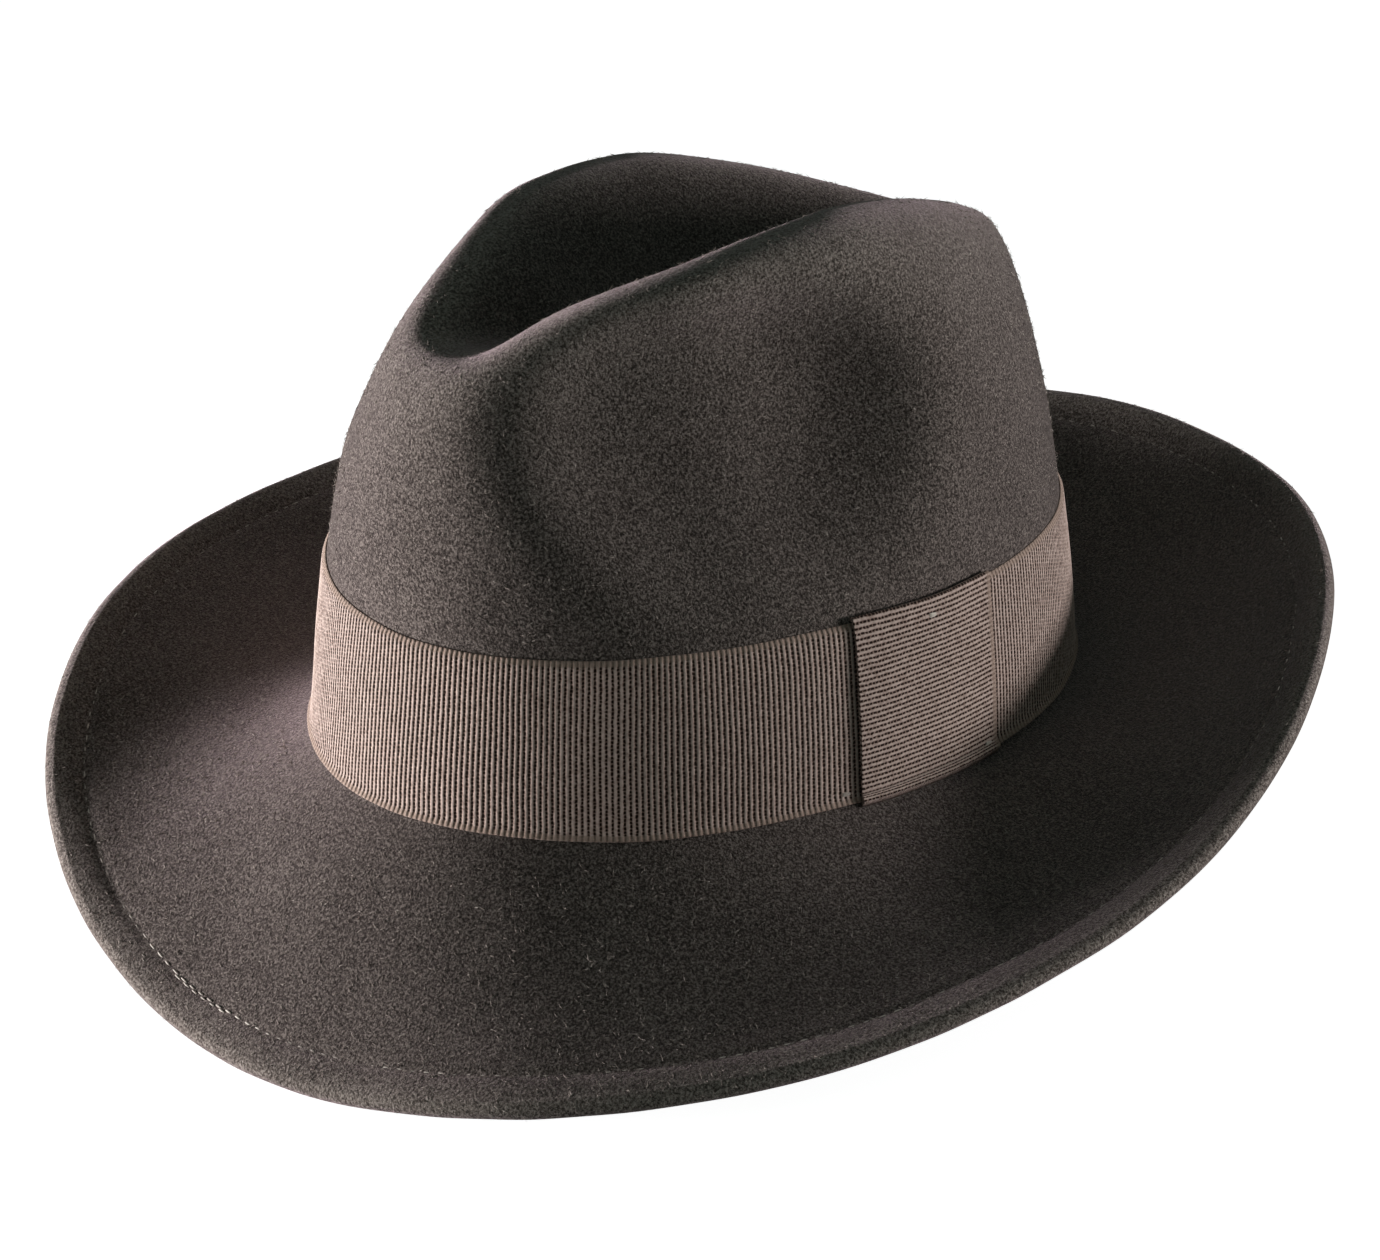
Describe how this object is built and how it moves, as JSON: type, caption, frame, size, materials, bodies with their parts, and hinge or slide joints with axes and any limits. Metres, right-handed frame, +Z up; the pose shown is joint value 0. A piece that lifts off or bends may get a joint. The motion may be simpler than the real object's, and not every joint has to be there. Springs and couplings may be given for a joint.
{
  "type": "fedora hat",
  "caption": "Soft felt fedora with a centre-dent crown pinched at the front, a snap brim with a turned-under stitched edge, and a ribbed ribbon band with a flat keeper.",
  "frame": {"origin": "middle of the bounding box at the height of the surface that the hat rests on", "axes": "+X to the wearer's left, -Y to the wearer's front, +Z up; the hat stands tipped back on its front brim edge and the bend at its back"},
  "size_m": [0.3072, 0.3392, 0.1554],
  "materials": {
    "felt": "matte",
    "ribbon": "satin",
    "edge_thread": "matte",
    "leather": "satin",
    "reed": "matte",
    "tape": "matte",
    "band_thread": "matte",
    "satin": "satin"
  },
  "bodies": {
    "root": {"felt_body": "felt", "brim_stitches": "edge_thread", "ribbon_band": "ribbon", "ribbon_keeper": "ribbon", "ribbon_tacks": "edge_thread", "sweatband": "leather", "sweatband_reed": "reed", "sweatband_tape": "tape", "sweatband_stitches": "band_thread", "sweatband_joint_stitches": "band_thread", "lining_side": "satin", "lining_tip": "satin"}
  },
  "joints": []
}
